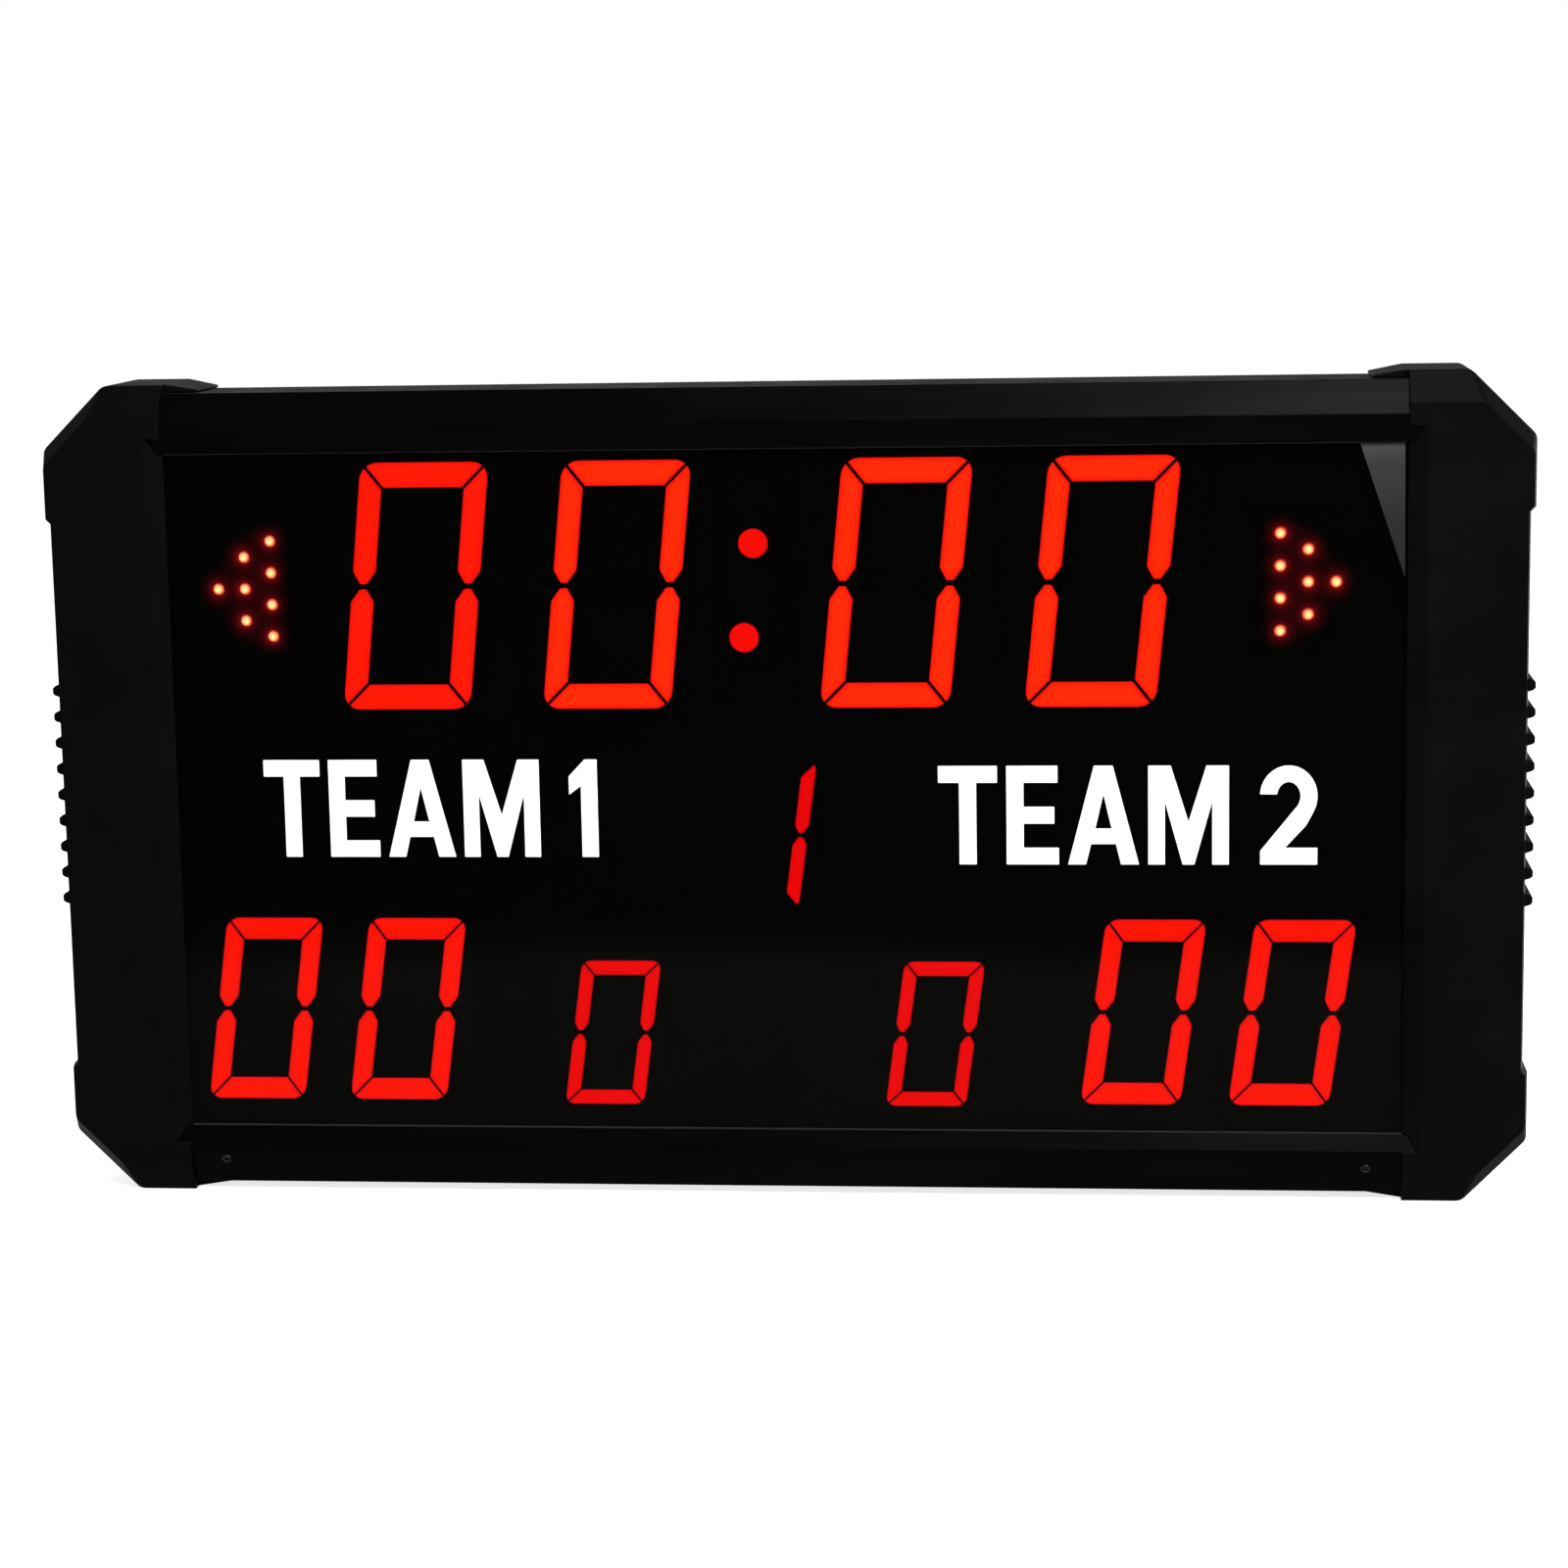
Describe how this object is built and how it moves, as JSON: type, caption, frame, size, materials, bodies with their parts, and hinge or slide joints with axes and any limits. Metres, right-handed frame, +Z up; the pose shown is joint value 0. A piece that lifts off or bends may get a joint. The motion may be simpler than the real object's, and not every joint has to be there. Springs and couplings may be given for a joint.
{
  "type": "electronic scoreboard",
  "caption": "Portable tabletop scoreboard: slanted red seven-segment clock and score digits behind a smoked panel, dark rails, black bumper end caps and swing-out rear feet.",
  "frame": {"origin": "middle of the bounding box in plan, on the level that the end caps and the foot pads stand on", "axes": "+X to the right of someone who reads the display, +Y from the display to the back, +Z up"},
  "size_m": [0.6048, 0.149, 0.338],
  "materials": {
    "cap_plastic": "matt black moulded plastic with a fine texture",
    "rail_metal": "dark satin finish on extruded aluminium",
    "smoked_panel": "smoked clear acrylic, polished",
    "gasket_rubber": "matt black rubber",
    "mask_plastic": "flat black sheet",
    "display_plastic": "red light segments in a black housing",
    "board": "green circuit board",
    "cover_metal": "black powder-coated steel sheet",
    "screw_metal": "blackened steel",
    "pin_steel": "plain steel",
    "foot_metal": "black powder-coated steel plate",
    "pad_rubber": "matt black rubber",
    "control_plastic": "black moulded plastic",
    "button_plastic": "red moulded plastic",
    "cable_plastic": "grey ribbon cable",
    "lead_plastic": "red insulated lead"
  },
  "bodies": {
    "case": {"top_rail": "rail_metal", "bottom_rail": "rail_metal", "right_end_cap": "cap_plastic", "left_end_cap": "cap_plastic", "back_cover": "cover_metal", "front_panel": "smoked_panel", "top_panel_gasket": "gasket_rubber", "bottom_panel_gasket": "gasket_rubber", "display_mask": "mask_plastic", "clock_digit_1": "display_plastic", "clock_digit_2": "display_plastic", "clock_digit_3": "display_plastic", "clock_digit_4": "display_plastic", "left_score_digit_1": "display_plastic", "left_score_digit_2": "display_plastic", "right_score_digit_1": "display_plastic", "right_score_digit_2": "display_plastic", "left_foul_digit": "display_plastic", "right_foul_digit": "display_plastic", "period_digit": "display_plastic", "colon_module": "display_plastic", "clock_board": "board", "score_board": "board", "left_arrow_board": "board", "right_arrow_board": "board", "main_board": "board", "regulator_board": "board", "receiver_module": "board", "receiver_antenna": "control_plastic", "horn": "control_plastic", "power_switch_housing": "control_plastic", "power_jack": "control_plastic", "pairing_button_housing": "control_plastic", "clock_cable": "cable_plastic", "score_cable": "cable_plastic", "jack_lead": "lead_plastic", "supply_lead": "lead_plastic", "horn_lead": "lead_plastic", "front_cap_screw_left": "screw_metal", "front_cap_screw_right": "screw_metal", "upper_cap_screw_left": "screw_metal", "upper_cap_screw_right": "screw_metal", "lower_cap_screw_left": "screw_metal", "lower_cap_screw_right": "screw_metal", "back_cover_screw_1": "screw_metal", "back_cover_screw_2": "screw_metal", "back_cover_screw_3": "screw_metal", "back_cover_screw_4": "screw_metal", "back_cover_screw_5": "screw_metal", "back_cover_screw_6": "screw_metal", "left_foot_bracket": "foot_metal", "left_foot_pin": "pin_steel", "right_foot_bracket": "foot_metal", "right_foot_pin": "pin_steel"},
    "left_foot": {"left_stand_foot": "foot_metal", "left_foot_pad": "pad_rubber"},
    "right_foot": {"right_stand_foot": "foot_metal", "right_foot_pad": "pad_rubber"},
    "power_rocker": {"power_rocker": "control_plastic"},
    "pairing_button": {"pairing_button": "button_plastic"}
  },
  "joints": [
    {"name": "left_foot_swing", "type": "hinge", "parent": "case", "child": "left_foot", "pos_m": [-0.21501, -0.02225, 0.048], "axis": [0, 0, -1], "range_deg": [0, 90]},
    {"name": "right_foot_swing", "type": "hinge", "parent": "case", "child": "right_foot", "pos_m": [0.21501, -0.02225, 0.048], "axis": [0, 0, 1], "range_deg": [0, 90]},
    {"name": "power_rocker_tilt", "type": "hinge", "parent": "case", "child": "power_rocker", "pos_m": [-0.038, -0.02735, 0.07], "axis": [1, 0, 0], "range_deg": [-20, 0]},
    {"name": "pairing_button_press", "type": "slide", "parent": "case", "child": "pairing_button", "axis": [0, -1, 0], "range_m": [0, 0.0012], "stiffness_N_per_m": 300}
  ]
}
